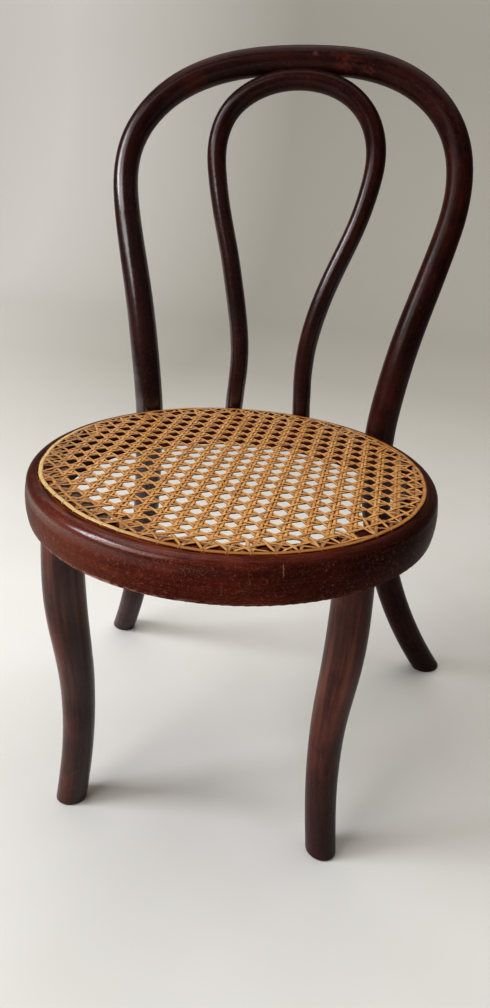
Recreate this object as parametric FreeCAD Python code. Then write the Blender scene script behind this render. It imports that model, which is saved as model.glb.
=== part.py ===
import FreeCAD, Part
import math
import os

os.makedirs("parts", exist_ok=True)

V = FreeCAD.Vector

# A small bentwood side chair, for a doll or a child's room. Millimetres, +Z up, front towards -Y.
# The seat is a bent wooden ring with hand woven cane. One long bent rod makes the rear legs and
# the outer loop of the back; a thinner rod makes the inner loop. Two turned legs hold the front.

# ---- where the seat centre stands in the file frame (the frame is centred on the whole chair)
SEAT_X = -10.76
SEAT_Y = -24.16

# ---- seat ring
RING_TOP = 191.0          # height of the flat top of the ring above the floor
RING_HEIGHT = 21.0
RING_OUTER = 106.7        # outer radius at the fullest point
RING_INNER = 90.0
RING_BULGE = 0.8          # how far the outer face swells at mid height
RING_TOP_ROUND = 4.6      # rounding of the worn top outer edge
RING_LOW_ROUND = 1.0
RING_INNER_ROUND = 1.2

# ---- cane seat
HOLE_COUNT = 62
HOLE_CIRCLE = 98.6        # radius of the circle of cane holes
HOLE_PULL = 2.7           # how far the hand-drilled line of holes wanders inward at the front left
PULL_ANGLE = 242.0        # middle of that stretch
PULL_FULL = 12.0          # degrees each side of the middle with the whole of it
PULL_END = 36.0           # degrees each side where it has died away
HOLE_DIAMETER = 2.6
BLIND_HOLE_DEPTH = 8.0    # holes over the front legs stop short of the tenons
CANE_THICKNESS = 1.5      # the six woven layers together
CANE_RADIUS = 97.1
BINDER_INNER = 97.3
BINDER_OUTER = 99.9
BINDER_THICKNESS = 1.2
LACING_WIDTH = 1.3
LACING_THICKNESS = 0.5
LACING_REACH = 0.4        # how far each loop shows outside the binder
PEG_LENGTH = 7.0
LOOP_THICKNESS = 0.6      # cane running from hole to hole under the ring
LOOP_WIDTH = 1.7

# ---- outer back loop and rear legs: one rod
# height above the ring top, half width between rod centres, shift to the left, rod diameter
OUTER_STATIONS = (
    (24.0, 76.5, 2.6, 17.4),
    (52.5, 81.6, 2.8, 17.2),
    (81.0, 88.5, 2.8, 16.8),
    (110.0, 95.9, 3.1, 15.4),
    (129.0, 99.4, 3.4, 14.6),
    (148.0, 99.0, 3.6, 14.4),
    (167.0, 91.9, 2.7, 14.7),
    (183.0, 77.5, 1.2, 15.4),
    (195.3, 54.3, -1.7, 15.9),
)
OUTER_TOP = 202.3         # height of the crown of the rod centre above the ring top
OUTER_CROWN_LEFT = 2.0
OUTER_DIA_CROWN = 15.7
OUTER_SEAT_HALF = 73.3    # half width where the rod passes the ring
OUTER_SEAT_SHIFT = 2.1
OUTER_DIA_SEAT_LEFT = 17.2
OUTER_DIA_SEAT_RIGHT = 18.6
OUTER_DIA_FOOT_LEFT = 16.0
OUTER_DIA_FOOT_RIGHT = 17.2
SEAT_SETBACK_LEFT = 84.5  # rod centre behind the seat centre, at the ring
SEAT_SETBACK_RIGHT = 88.5
CROWN_SETBACK = 147.0     # rod centre behind the seat centre, at the crown
LEAN_CURVE = 0.5          # 0 is a straight lean, 1 is all curve
REAR_FOOT_LEFT = (-106.0, 116.5)
REAR_FOOT_RIGHT = (126.5, 131.0)
REAR_BOW_LEFT = 2.4       # 1 would be a straight leg; larger bows out lower down
REAR_BOW_RIGHT = 1.95

# ---- inner back loop, same columns
INNER_STATIONS = (
    (20.0, 21.1, 3.2, 11.5),
    (39.0, 21.7, 3.3, 11.7),
    (58.0, 24.9, 3.3, 11.7),
    (77.0, 29.7, 2.8, 11.7),
    (96.0, 35.6, 1.8, 11.4),
    (115.0, 41.8, 1.2, 11.2),
    (134.0, 46.4, 1.2, 11.4),
    (153.5, 48.2, 1.6, 11.8),
    (172.5, 42.1, 2.0, 11.8),
    (184.4, 29.3, 1.5, 12.0),
)
INNER_TOP = 191.9
INNER_CROWN_LEFT = 0.0
INNER_DIA_CROWN = 11.8
INNER_FOOT_HALF = 22.2
INNER_FOOT_SHIFT = 3.0
INNER_DIA_FOOT = 11.2
INNER_SETBACK = 108.0
INNER_CROWN_SETBACK = 142.5
INNER_FOOT_DROP = 17.0    # length of the foot lapped down behind the ring

# ---- front legs: oval in section, standing on a radius of the seat
LEG_ANGLE = 39.5          # between the leg's radius and the sideways axis
# height above the floor, distance from the seat centre, radial diameter, crosswise diameter
LEG_STATIONS = (
    (0.0, 93.2, 17.4, 15.6),
    (18.0, 90.5, 17.2, 15.8),
    (37.0, 88.3, 17.2, 16.0),
    (57.0, 87.2, 17.6, 16.2),
    (77.0, 87.3, 18.3, 16.4),
    (96.0, 88.7, 19.6, 16.6),
    (115.0, 90.8, 21.0, 16.8),
    (133.0, 92.1, 21.8, 16.8),
    (151.0, 92.4, 21.4, 16.6),
    (170.0, 92.0, 20.6, 16.4),
)
TENON_RADIUS_POS = 95.5
TENON_DIAMETER = 10.0
TENON_LENGTH = 11.0
SOLE_ROUND = 1.2

# ---- screws
SCREW_HEAD = 6.0
SCREW_HEAD_DEPTH = 1.6
SCREW_SHANK = 3.2
SCREW_SINK = 0.6          # how far the crown screw's head is let into the rod
POST_SCREW_LENGTH = 19.0
FOOT_SCREW_LENGTH = 13.0
CROWN_SCREW_LENGTH = 17.0
SLOT_WIDTH = 0.9

RING_LOW = RING_TOP - RING_HEIGHT


def save(shape, name):
    moved = shape.copy()
    moved.translate(V(SEAT_X, SEAT_Y, 0))
    moved.exportStep("parts/" + name + ".step")


def polar(radius, degrees, z):
    a = math.radians(degrees)
    return V(radius * math.cos(a), radius * math.sin(a), z)


def hole_pull(degrees):
    # how far the line of holes, and the cane that follows it, lies inside its circle
    away = abs((degrees - PULL_ANGLE + 180) % 360 - 180)
    t = min(1.0, max(0.0, (away - PULL_FULL) / (PULL_END - PULL_FULL)))
    return HOLE_PULL * (1 - t * t * (3 - 2 * t))


def cane_outline(radius, height):
    # a flat plate on the ring whose edge follows the line of holes
    edge = Part.BSplineCurve()
    edge.interpolate(Points=[polar(radius - hole_pull(a), a, RING_TOP) for a in range(0, 360, 4)],
                     PeriodicFlag=True)
    return Part.Face(Part.Wire(edge.toShape())).extrude(V(0, 0, height))


def blend(table, x):
    # straight line between the rows of a table of (x, value)
    if x <= table[0][0]:
        return table[0][1]
    for i in range(1, len(table)):
        if x <= table[i][0]:
            x0, y0 = table[i - 1]
            x1, y1 = table[i]
            return y0 + (y1 - y0) * (x - x0) / (x1 - x0)
    return table[-1][1]


def smooth(table, x):
    # the same table with its corners rounded off
    span = (table[-1][0] - table[0][0]) * 0.02
    total = 0.0
    for k in range(-2, 3):
        total += blend(table, x + k * span)
    return total / 5.0


def placed(profile, centre, tangent, reference):
    # put a flat profile square across a rod, with its own x axis held near the reference
    z = V(tangent)
    z.normalize()
    x = reference - z * reference.dot(z)
    x.normalize()
    y = z.cross(x)
    ring = profile.copy()
    ring.Placement = FreeCAD.Placement(centre, FreeCAD.Rotation(x, y, z, "ZXY"))
    return ring


def rod(points, diameters, sections, reference):
    # a round rod along a smooth line through the points, one diameter for each point
    line = Part.BSplineCurve()
    line.interpolate(points)
    run = [0.0]
    for i in range(1, len(points)):
        run.append(run[-1] + points[i].distanceToPoint(points[i - 1]))
    table = [(r / run[-1], d) for r, d in zip(run, diameters)]
    first = line.FirstParameter
    last = line.LastParameter
    wires = []
    for i in range(sections + 1):
        t = i / sections
        u = first + (last - first) * t
        circle = Part.Wire(Part.Circle(V(0, 0, 0), V(0, 0, 1), smooth(table, t) / 2).toShape())
        wires.append(placed(circle, line.value(u), line.tangent(u)[0], reference))
    return Part.makeLoft(wires, True, False)


def ring_profile(grow=0.0):
    # half section of the seat ring in the XZ plane
    o = RING_OUTER + grow
    t = RING_TOP
    b = RING_LOW
    i = RING_INNER
    mid = (t + b) / 2
    side = o - RING_BULGE
    r = RING_TOP_ROUND
    q = RING_LOW_ROUND
    n = RING_INNER_ROUND
    k = 1 - math.sqrt(0.5)
    edges = [
        Part.LineSegment(V(i + n, 0, t), V(side - r, 0, t)).toShape(),
        Part.Arc(V(side - r, 0, t), V(side - r * k, 0, t - r * k), V(side, 0, t - r)).toShape(),
        Part.Arc(V(side, 0, t - r), V(o, 0, mid - 1), V(side, 0, b + q)).toShape(),
        Part.Arc(V(side, 0, b + q), V(side - q * k, 0, b + q * k), V(side - q, 0, b)).toShape(),
        Part.LineSegment(V(side - q, 0, b), V(i + n, 0, b)).toShape(),
        Part.Arc(V(i + n, 0, b), V(i + n * k, 0, b + n * k), V(i, 0, b + n)).toShape(),
        Part.LineSegment(V(i, 0, b + n), V(i, 0, t - n)).toShape(),
        Part.Arc(V(i, 0, t - n), V(i + n * k, 0, t - n * k), V(i + n, 0, t)).toShape(),
    ]
    return Part.Face(Part.Wire(edges))


def screw(head_centre, direction, length):
    # round-shouldered wood screw, slotted; the head's outer face is at head_centre
    d = V(direction)
    d.normalize()
    head = Part.makeCylinder(SCREW_HEAD / 2, SCREW_HEAD_DEPTH, head_centre, d)
    shank = Part.makeCylinder(SCREW_SHANK / 2, length - 4.0, head_centre + d * SCREW_HEAD_DEPTH, d)
    tip_start = head_centre + d * (SCREW_HEAD_DEPTH + length - 4.0)
    tip = Part.makeCone(SCREW_SHANK / 2, 0.4, 4.0, tip_start, d)
    body = head.fuse(shank).fuse(tip).removeSplitter()
    return body


def slotted(body, head_centre, direction):
    # cut the driver slot across the head
    d = V(direction)
    d.normalize()
    slot = Part.makeBox(SCREW_HEAD + 1, SLOT_WIDTH, 0.7)
    slot.translate(V(-SCREW_HEAD / 2 - 0.5, -SLOT_WIDTH / 2, -0.05))
    side = V(0, 0, 1).cross(d)
    if side.Length < 0.1:
        side = V(1, 0, 0)
    slot.Placement = FreeCAD.Placement(head_centre, FreeCAD.Rotation(side, V(0, 0, 0), d, "ZXY")).multiply(
        slot.Placement)
    return body.cut(slot)


# ---------------------------------------------------------------- outer back loop and rear legs
def outer_setback(side, z):
    # the lean of the back, taken from the ring up to the crown
    base = SEAT_SETBACK_LEFT if side < 0 else SEAT_SETBACK_RIGHT
    w = max(0.0, z) / OUTER_TOP
    lean = (1 - LEAN_CURVE) * w + LEAN_CURVE * w * w
    return base + (CROWN_SETBACK - base) * lean


def rear_leg(side):
    # from under the foot up to the seat: the leg starts upright at the ring and bows outward
    foot = REAR_FOOT_LEFT if side < 0 else REAR_FOOT_RIGHT
    top = V(side * OUTER_SEAT_HALF - OUTER_SEAT_SHIFT, outer_setback(side, 0), RING_TOP - 4.0)
    bow = REAR_BOW_LEFT if side < 0 else REAR_BOW_RIGHT
    thick = OUTER_DIA_SEAT_LEFT if side < 0 else OUTER_DIA_SEAT_RIGHT
    thin = OUTER_DIA_FOOT_LEFT if side < 0 else OUTER_DIA_FOOT_RIGHT
    run = []
    for s in (1.06, 0.9, 0.75, 0.6, 0.45, 0.3, 0.15, 0.0):
        x = top.x + (foot[0] - top.x) * s ** bow
        y = top.y + (foot[1] - top.y) * s ** bow
        run.append((V(x, y, top.z * (1 - s)), thick + (thin - thick) * s))
    return run


def outer_run():
    left = rear_leg(-1)
    right = rear_leg(1)
    for z, half, shift, dia in OUTER_STATIONS:
        left.append((V(-half - shift, outer_setback(-1, z), RING_TOP + z), dia))
        right.append((V(half - shift, outer_setback(1, z), RING_TOP + z), dia))
    crown = (V(-OUTER_CROWN_LEFT, CROWN_SETBACK, RING_TOP + OUTER_TOP), OUTER_DIA_CROWN)
    return left + [crown] + right[::-1]


outer_line = outer_run()
outer = rod([p for p, d in outer_line], [d for p, d in outer_line], 48, V(0, 1, 0.25))
floor_block = Part.makeBox(600, 600, 100, V(-300, -300, -100))
outer = outer.cut(floor_block)
sole_edges = [e for e in outer.Edges if max(abs(v.Z) for v in e.Vertexes) < 0.01]
outer = outer.makeFillet(SOLE_ROUND, sole_edges)


# ---------------------------------------------------------------- inner back loop
def inner_setback(z):
    w = max(0.0, z) / INNER_TOP
    lean = 0.7 * w + 0.3 * w * w
    return INNER_SETBACK + (INNER_CROWN_SETBACK - INNER_SETBACK) * lean


def inner_run():
    left = []
    right = []
    for drop, spread in ((INNER_FOOT_DROP, 0.6), (8.0, 0.2), (0.0, 0.0)):
        half = INNER_FOOT_HALF + spread
        left.append((V(-half - INNER_FOOT_SHIFT, INNER_SETBACK, RING_TOP - drop), INNER_DIA_FOOT))
        right.append((V(half - INNER_FOOT_SHIFT, INNER_SETBACK, RING_TOP - drop), INNER_DIA_FOOT))
    for z, half, shift, dia in INNER_STATIONS:
        left.append((V(-half - shift, inner_setback(z), RING_TOP + z), dia))
        right.append((V(half - shift, inner_setback(z), RING_TOP + z), dia))
    crown = (V(-INNER_CROWN_LEFT, INNER_CROWN_SETBACK, RING_TOP + INNER_TOP), INNER_DIA_CROWN)
    return left + [crown] + right[::-1]


inner_line = inner_run()
inner = rod([p for p, d in inner_line], [d for p, d in inner_line], 56, V(0, 1, 0.2))

# ---------------------------------------------------------------- seat ring
ring = ring_profile().revolve(V(0, 0, 0), V(0, 0, 1), 360)
ring_solid = Part.Solid(ring) if ring.ShapeType == "Shell" else ring

# the rods are notched round the ring, and the outer rod is notched round the inner one
outer = outer.cut(ring_solid)
inner = inner.cut(ring_solid)
outer = outer.cut(inner)

# ---------------------------------------------------------------- front legs
leg_angles = (180 + LEG_ANGLE, -LEG_ANGLE)


def leg(degrees):
    heights = [row[0] for row in LEG_STATIONS]
    reach = Part.BSplineCurve()
    reach.interpolate([V(row[1], 0, row[0]) for row in LEG_STATIONS])
    wires = []
    count = 24
    for i in range(count + 1):
        t = reach.FirstParameter + (reach.LastParameter - reach.FirstParameter) * i / count
        p = reach.value(t)
        long_dia = smooth([(r[0], r[2]) for r in LEG_STATIONS], p.z)
        cross_dia = smooth([(r[0], r[3]) for r in LEG_STATIONS], p.z)
        if i == count:
            p.z = heights[-1]
        if i == 0:
            p.z = 0.0
        oval = Part.Wire(Part.Ellipse(V(0, 0, 0), long_dia / 2, cross_dia / 2).toShape())
        oval.rotate(V(0, 0, 0), V(0, 0, 1), degrees)
        oval.translate(polar(p.x, degrees, p.z))
        wires.append(oval)
    body = Part.makeLoft(wires, True, False)
    sole = [e for e in body.Edges if e.BoundBox.ZMax < 0.01]
    body = body.makeFillet(SOLE_ROUND, sole)
    tenon = Part.makeCylinder(TENON_DIAMETER / 2, TENON_LENGTH, polar(TENON_RADIUS_POS, degrees, RING_LOW))
    return body.fuse(tenon).removeSplitter()


left_leg = leg(leg_angles[0])
right_leg = leg(leg_angles[1])

# ---------------------------------------------------------------- holes for the cane
hole_step = 360.0 / HOLE_COUNT
holes = []
pegs = []
loops = []
laces = []
for n in range(HOLE_COUNT):
    a = hole_step * (n + 0.5)
    off_leg = min(abs((a - d + 180) % 360 - 180) for d in leg_angles)
    blind = off_leg < 7.5
    depth = BLIND_HOLE_DEPTH if blind else RING_HEIGHT
    hole_low = RING_TOP - depth
    hole_radius = HOLE_CIRCLE - hole_pull(a)
    holes.append(Part.makeCylinder(HOLE_DIAMETER / 2, depth, polar(hole_radius, a, hole_low)))
    pegs.append(Part.makeCylinder(HOLE_DIAMETER / 2, PEG_LENGTH, polar(hole_radius, a, RING_TOP - PEG_LENGTH)))
    # lacing loop over the binder at every hole
    length = BINDER_OUTER - BINDER_INNER + 0.1 + LACING_REACH
    lace = Part.makeBox(length, LACING_WIDTH, LACING_THICKNESS)
    lace.translate(V(BINDER_INNER - 0.1 - hole_pull(a), -LACING_WIDTH / 2, RING_TOP + BINDER_THICKNESS))
    lace.rotate(V(0, 0, 0), V(0, 0, 1), a)
    laces.append(lace)
    # a loop of cane under the ring joins each hole to the next, except across the leg tops
    near = min(abs((a + hole_step / 2 - d + 180) % 360 - 180) for d in leg_angles)
    if n % 2 == 0 and near > 9.5:
        low = RING_LOW - LOOP_THICKNESS
        here = polar(hole_radius, a, low)
        there = polar(HOLE_CIRCLE - hole_pull(a + hole_step), a + hole_step, low)
        span = there - here
        run = span.Length + HOLE_DIAMETER * 0.6
        loop = Part.makeBox(run, LOOP_WIDTH, LOOP_THICKNESS)
        loop.translate(V(-run / 2, -LOOP_WIDTH / 2, 0))
        loop.rotate(V(0, 0, 0), V(0, 0, 1), math.degrees(math.atan2(span.y, span.x)))
        loop.translate((here + there) * 0.5)
        loops.append(loop)

ring_solid = ring_solid.cut(Part.makeCompound(holes))
ring_solid = ring_solid.cut(left_leg).cut(right_leg)

# ---------------------------------------------------------------- cane seat, binder
panel = cane_outline(CANE_RADIUS, CANE_THICKNESS)
binder = cane_outline(BINDER_OUTER, BINDER_THICKNESS).cut(cane_outline(BINDER_INNER, BINDER_THICKNESS))

# ---------------------------------------------------------------- screws
screw_level = RING_TOP - RING_HEIGHT / 2
post_screws = []
for side in (-1, 1):
    centre = V(side * OUTER_SEAT_HALF - OUTER_SEAT_SHIFT, outer_setback(side, 0), 0)
    post_dia = OUTER_DIA_SEAT_LEFT if side < 0 else OUTER_DIA_SEAT_RIGHT
    degrees = math.degrees(math.atan2(centre.y, centre.x))
    radius = math.hypot(centre.x, centre.y)
    start = polar(radius + post_dia / 2 - 0.6, degrees, screw_level)
    inward = polar(-1, degrees, 0)
    post_screws.append((screw(start, inward, POST_SCREW_LENGTH), start, inward))
foot_screws = []
for side in (-1, 1):
    centre = V(side * (INNER_FOOT_HALF + 0.2) - INNER_FOOT_SHIFT, INNER_SETBACK, 0)
    degrees = math.degrees(math.atan2(centre.y, centre.x))
    radius = math.hypot(centre.x, centre.y)
    start = polar(radius + INNER_DIA_FOOT / 2 - 0.8, degrees, screw_level)
    inward = polar(-1, degrees, 0)
    foot_screws.append((screw(start, inward, FOOT_SCREW_LENGTH), start, inward))
# the two loops are held together at the crown by a screw driven down from the hidden top of the outer one
outer_crown = V(-OUTER_CROWN_LEFT, CROWN_SETBACK, RING_TOP + OUTER_TOP)
inner_crown = V(-INNER_CROWN_LEFT, INNER_CROWN_SETBACK, RING_TOP + INNER_TOP)
crown_down = inner_crown - outer_crown
crown_down.normalize()
crown_start = outer_crown - crown_down * (OUTER_DIA_CROWN / 2 - SCREW_SINK)
crown_screw = (screw(crown_start, crown_down, CROWN_SCREW_LENGTH), crown_start, crown_down)

for body, start, direction in post_screws:
    bore = Part.makeCylinder(SCREW_HEAD / 2, 8.0, start - direction * 8.0, direction)
    outer = outer.cut(bore.fuse(body))
    ring_solid = ring_solid.cut(body)
for body, start, direction in foot_screws:
    bore = Part.makeCylinder(SCREW_HEAD / 2, 8.0, start - direction * 8.0, direction)
    inner = inner.cut(bore.fuse(body))
    ring_solid = ring_solid.cut(body)
bore = Part.makeCylinder(SCREW_HEAD / 2, 6.0, crown_start - crown_down * 6.0, crown_down)
outer = outer.cut(bore.fuse(crown_screw[0]))
inner = inner.cut(crown_screw[0])

save(ring_solid, "seat_ring")
save(panel, "cane_panel")
save(binder, "binder_cane")
save(Part.makeCompound(laces), "binder_lacing")
save(Part.makeCompound(pegs), "cane_hole_pegs")
save(Part.makeCompound(loops), "underside_cane_loops")
save(outer, "outer_back_hoop")
save(inner, "inner_back_hoop")
save(left_leg, "front_leg_left")
save(right_leg, "front_leg_right")
save(Part.makeCompound([slotted(b, s, d) for b, s, d in post_screws]), "rear_post_screws")
save(Part.makeCompound([slotted(b, s, d) for b, s, d in foot_screws]), "inner_hoop_screws")
save(slotted(crown_screw[0], crown_screw[1], crown_screw[2]), "crown_screw")
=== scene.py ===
"""Looks for the miniature bentwood chair: real woven cane, waxed dark wood, soft window light."""
import math
import random

import bpy
import numpy as np
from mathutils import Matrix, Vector, kdtree


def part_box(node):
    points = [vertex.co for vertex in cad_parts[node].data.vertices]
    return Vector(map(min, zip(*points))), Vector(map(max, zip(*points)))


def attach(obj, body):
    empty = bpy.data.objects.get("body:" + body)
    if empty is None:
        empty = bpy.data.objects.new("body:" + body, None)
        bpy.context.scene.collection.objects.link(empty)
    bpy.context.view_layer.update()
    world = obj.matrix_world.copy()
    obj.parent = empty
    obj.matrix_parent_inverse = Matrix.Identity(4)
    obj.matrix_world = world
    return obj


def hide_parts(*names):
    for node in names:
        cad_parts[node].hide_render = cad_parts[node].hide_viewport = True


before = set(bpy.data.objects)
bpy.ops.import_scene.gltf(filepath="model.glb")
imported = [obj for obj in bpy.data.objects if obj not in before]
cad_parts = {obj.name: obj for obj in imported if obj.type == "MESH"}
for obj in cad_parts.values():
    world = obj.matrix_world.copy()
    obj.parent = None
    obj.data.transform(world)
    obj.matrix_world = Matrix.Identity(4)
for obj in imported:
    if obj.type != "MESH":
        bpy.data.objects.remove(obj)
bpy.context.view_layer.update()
MM = 0.001

# ------------------------------------------------------------------ where things are, from the CAD
ring_low, ring_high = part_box("seat_ring")
SEAT = Vector(((ring_low.x + ring_high.x) / 2, (ring_low.y + ring_high.y) / 2))
RING_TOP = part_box("cane_panel")[0].z
RING_HEIGHT = 21.0        # millimetres
RING_BASE = RING_TOP - RING_HEIGHT * MM
RING_RADIUS = (ring_high.x - ring_low.x) / 2

# cane, in millimetres from the seat's centre
# pairs of strands that run front to back: where each crosses the sideways axis
COLUMNS = (-94.0, -84.7, -76.1, -66.9, -57.3, -47.5, -37.8, -28.0, -18.3, -8.7, 0.4,
           9.3, 18.5, 27.8, 37.8, 47.5, 56.8, 66.4, 75.7, 84.9, 93.7)
# pairs that run from side to side: where each crosses the front-to-back axis
ROWS = (-92.0, -84.0, -75.8, -67.1, -57.7, -47.5, -37.2, -27.3, -17.5, -7.5,
        2.6, 12.3, 22.0, 31.5, 40.8, 50.5, 60.4, 70.0, 79.5, 89.0)
PITCH = 9.6
COLUMN_LEAN = -0.02       # the hand laid strands are not quite square to the chair
ROW_LEAN = ((-90, 0.0), (-70, 0.028), (0, 0.043), (60, 0.048))
COLUMN_GAP = 0.86         # half the distance between the two strands of a pair
ROW_GAP = 0.64
COLUMN_WIDTH = 1.62
ROW_WIDTH = 1.32
DIAGONAL_WIDTH = 1.4
STRAND_THICK = 0.46
SAMPLE_STEP = 0.085       # one point on a strand for this share of the pitch
HOLES = 62
HOLE_CIRCLE = 98.6
HOLE_TURN = 2 * math.pi / HOLES
CROSS_LEVEL = 0.3         # how far a strand rises or dips where it crosses
DIAGONAL_LEVEL = 0.27
MIDDLE_LEVEL = 0.7        # height of the middle of the weave above the ring's top
BORDER = 86.0             # here the strands leave the weave and settle on the ring
BORDER_WIDTH = 8.0
DIVE = 96.8               # here they turn down into the holes
DIVE_WIDTH = 1.8
DIVE_DEPTH = 0.9
CROWDED = (82, 98)        # between these radii the strands crowd together
CROWDED_MOST = (195, 243)  # and most of all between these degrees, at the front left
CREVICE = 4.1             # half width of the closed patch at a crossing
CREVICE_LEVEL = 0.45
CREVICE_THICK = 0.1
CREVICE_RIM = 6.5         # no patch is nearer than this to the holes
PACKED = (198, 250)       # degrees between which the openings beside the binder are shut
PACKED_RIM = (12, 4)      # and how near to the holes
BINDER_MID = 98.6
BINDER_WIDTH = 2.4
BINDER_THICK = 0.6
BINDER_START = math.radians(118)
BINDER_LAP = math.radians(9)
# the line of holes wanders inward at the front left
PULL_DEPTH = 2.7
PULL_MIDDLE = 242.0       # degrees
PULL_FULL = 12.0          # degrees each side of the middle with the whole of it
PULL_END = 36.0           # degrees each side where it has died away
SEAM_ANGLE = math.radians(-65.8)
LEG_ANGLE = 39.5          # degrees between a front leg's radius and the sideways axis
LEG_CLEAR = 9.5           # degrees; no loop below the ring is nearer than this to a leg


# ------------------------------------------------------------------ mesh helpers
def make_object(name, verts, faces, attributes=None):
    mesh = bpy.data.meshes.new(name)
    mesh.from_pydata(verts, [], faces)
    mesh.update()
    mesh.polygons.foreach_set("use_smooth", [True] * len(mesh.polygons))
    for key, (kind, values) in (attributes or {}).items():
        layer = mesh.attributes.new(key, kind, "POINT")
        field = "vector" if kind == "FLOAT_VECTOR" else "value"
        layer.data.foreach_set(field, np.asarray(values, np.float32).ravel())
    obj = bpy.data.objects.new(name, mesh)
    bpy.context.scene.collection.objects.link(obj)
    return obj


class Ribbons:
    """Many flat strands gathered into one mesh, each with its own run, width place and tint."""

    # section of split cane, in shares of half the width and of the thickness: flat below, rounded above
    PROFILE = ((-1.0, 0.12), (-0.86, -0.5), (0.86, -0.5), (1.0, 0.12),
               (0.62, 0.42), (0.0, 0.52), (-0.62, 0.42))

    def __init__(self):
        self.verts = []
        self.faces = []
        self.run = []

    def add(self, points, width, thick, up=None, tint=0.5, profile=None):
        """points is (n, 3) in millimetres; up is one vector or one for each point."""
        shape = np.array(profile or self.PROFILE)
        p = np.asarray(points, float)
        n = len(p)
        k = len(shape)
        tangent = np.gradient(p, axis=0)
        tangent /= np.linalg.norm(tangent, axis=1)[:, None]
        up = np.tile(np.array([0.0, 0.0, 1.0]), (n, 1)) if up is None else np.asarray(up, float)
        across = np.cross(tangent, up)
        across /= np.linalg.norm(across, axis=1)[:, None]
        normal = np.cross(across, tangent)
        steps = np.linalg.norm(np.diff(p, axis=0), axis=1)
        along = np.concatenate([[0.0], np.cumsum(steps)])
        w = np.broadcast_to(np.asarray(width, float), (n,))
        ring = (p[:, None, :]
                + across[:, None, :] * (shape[None, :, 0, None] * w[:, None, None] / 2)
                + normal[:, None, :] * (shape[None, :, 1, None] * thick))
        start = len(self.verts)
        self.verts.extend((ring.reshape(-1, 3) * MM).tolist())
        for i in range(n - 1):
            a = start + i * k
            for j in range(k):
                q = (j + 1) % k
                self.faces.append((a + j, a + q, a + k + q, a + k + j))
        self.faces.append(tuple(start + j for j in range(k))[::-1])
        self.faces.append(tuple(start + (n - 1) * k + j for j in range(k)))
        for i in range(n):
            for j in range(k):
                self.run.append((along[i] * MM, shape[j, 0], tint))

    def build(self, name):
        return make_object(name, self.verts, self.faces, {"strand": ("FLOAT_VECTOR", self.run)})


def smooth_step(x):
    x = np.clip(x, 0.0, 1.0)
    return x * x * (3 - 2 * x)


def soften(values, passes):
    v = np.asarray(values, float).copy()
    for _ in range(passes):
        v[1:-1] = 0.25 * v[:-2] + 0.5 * v[1:-1] + 0.25 * v[2:]
    return v


# ------------------------------------------------------------------ the woven seat
def spread(table, index):
    """Place of a pair by its running number, carried on evenly past both ends."""
    k = np.arange(len(table))
    inside = np.interp(index, k, table)
    return inside + PITCH * (np.minimum(index, 0) + np.maximum(index - k[-1], 0))


def lattice(i, j):
    """Where column i meets row j, for whole or part numbers, in millimetres."""
    x0 = spread(COLUMNS, i)
    y0 = spread(ROWS, j)
    lean = np.interp(y0, [r[0] for r in ROW_LEAN], [r[1] for r in ROW_LEAN])
    x, y = x0, y0
    for _ in range(3):
        y = y0 + lean * x
        x = x0 + COLUMN_LEAN * y
    return np.column_stack([x, y])


def pull(turn):
    """How far the line of holes lies inside its circle, by the turn round the seat in radians."""
    away = np.abs((np.degrees(turn) - PULL_MIDDLE + 180) % 360 - 180)
    return PULL_DEPTH * (1 - smooth_step((away - PULL_FULL) / (PULL_END - PULL_FULL)))


def hole_near(angle):
    return (round(angle / HOLE_TURN - 0.5) + 0.5) * HOLE_TURN


def lay(rng, xy, z, width, edge_level, group):
    """One strand along xy, cut off at the holes and drawn over to them at both ends."""
    r = np.hypot(xy[:, 0], xy[:, 1]) + pull(np.arctan2(xy[:, 1], xy[:, 0]))
    keep = np.flatnonzero(r < HOLE_CIRCLE)
    if len(keep) < 20:
        return
    xy = xy[keep[0]:keep[-1] + 1].copy()
    z = z[keep[0]:keep[-1] + 1]
    steps = np.linalg.norm(np.diff(xy, axis=0), axis=1)
    run = np.concatenate([[0.0], np.cumsum(steps)])
    length = run[-1]
    for end in (0, -1):
        place = xy[end].copy()
        a = hole_near(math.atan2(place[1], place[0]) + rng.gauss(0, 0.012))
        hole = (HOLE_CIRCLE - pull(a)) * np.array([math.cos(a), math.sin(a)])
        hole = hole + np.array([rng.gauss(0, 0.3), rng.gauss(0, 0.3)])
        reach = min(rng.uniform(12, 19), length * 0.45)
        back = run if end == 0 else length - run
        xy += smooth_step(1 - back / reach)[:, None] * (hole - place)
    turn = np.arctan2(xy[:, 1], xy[:, 0])
    r = np.hypot(xy[:, 0], xy[:, 1]) + pull(turn)
    rest = smooth_step((r - BORDER) / BORDER_WIDTH)
    z = (MIDDLE_LEVEL + z) * (1 - rest) + (edge_level + 0.25 * z) * rest
    z = z - DIVE_DEPTH * smooth_step((r - DIVE) / DIVE_WIDTH)
    points = np.column_stack([xy + np.array(SEAT) / MM, z + RING_TOP / MM])
    turn = np.degrees(turn) % 360
    left = smooth_step((turn - CROWDED_MOST[0]) / 12) * smooth_step((CROWDED_MOST[1] - turn) / 12)
    near = smooth_step((r - CROWDED[0]) / 5) * smooth_step((CROWDED[1] - r) / 4)
    crowd = 1 + (0.22 + 0.08 * left) * near
    group.add(points, width * (1 + rng.gauss(0, 0.05)) * crowd, STRAND_THICK, tint=rng.random())


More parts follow.
